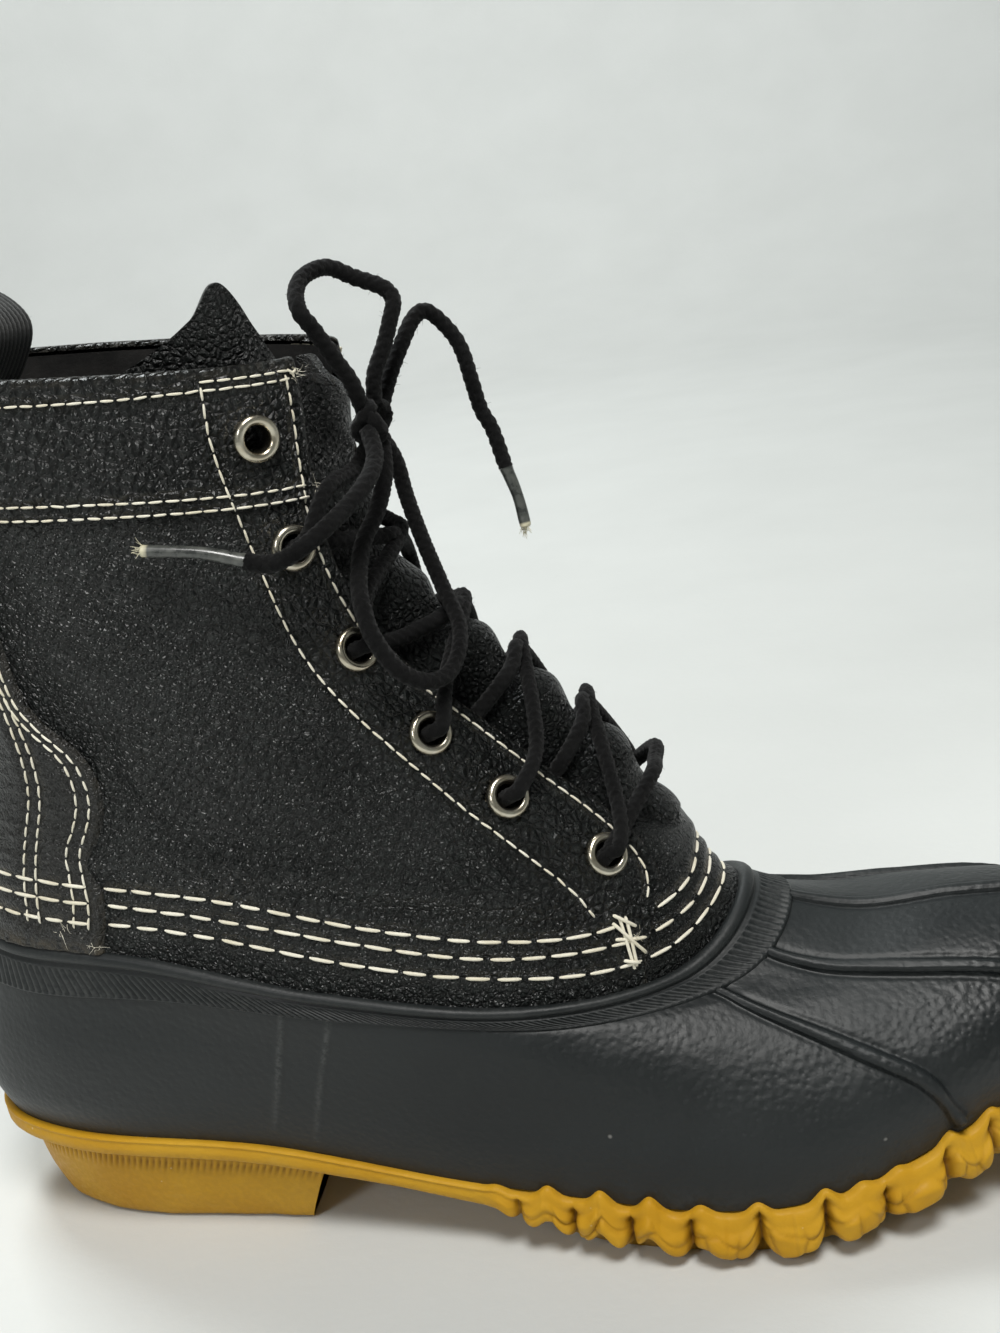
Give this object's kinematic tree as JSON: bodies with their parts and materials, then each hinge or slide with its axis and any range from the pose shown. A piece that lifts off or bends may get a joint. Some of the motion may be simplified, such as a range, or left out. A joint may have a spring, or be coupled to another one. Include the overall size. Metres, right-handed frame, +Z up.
{
  "type": "duck boot",
  "caption": "Lace-up ankle boot for the right foot: moulded rubber foot on a gum sole with lumped edge and heel block, stitched leather shaft, tongue, eyelets, laces and pull loop.",
  "frame": {"origin": "middle of the heel's flat bottom, on the floor", "axes": "+X towards the toe, +Z up, -Y towards the outer side of the right foot"},
  "size_m": [0.2877, 0.105, 0.232],
  "materials": {
    "gum": "moulded amber gum, slightly glossy",
    "rubber": "black moulded rubber, soft sheen",
    "leather": "near-black pebbled leather",
    "worn_leather": "worn brown-grey nubuck",
    "lining": "matt insole fabric",
    "webbing": "ribbed black webbing",
    "nickel": "dulled nickel",
    "lace": "black braided cord, slightly fuzzy",
    "aglet": "clear sheath over black cord"
  },
  "bodies": {
    "root": {"outsole": "gum", "rubber_shell": "rubber", "leather_upper": "leather", "tongue": "leather", "insole": "lining", "backstay": "worn_leather", "pull_loop": "webbing", "eyelet_outer_1": "nickel", "eyelet_inner_1": "nickel", "eyelet_outer_2": "nickel", "eyelet_inner_2": "nickel", "eyelet_outer_3": "nickel", "eyelet_inner_3": "nickel", "eyelet_outer_4": "nickel", "eyelet_inner_4": "nickel", "eyelet_outer_5": "nickel", "eyelet_inner_5": "nickel", "eyelet_outer_6": "nickel", "eyelet_inner_6": "nickel", "lace_crossing_2": "lace", "lace_crossing_3": "lace", "lace_crossing_4": "lace", "lace_crossing_5": "lace", "lace_knot": "lace", "lace_loop_up": "lace", "lace_loop_down": "lace", "lace_end_inner": "lace", "lace_end_outer": "lace", "aglet_inner": "aglet", "aglet_outer": "aglet"}
  },
  "joints": []
}
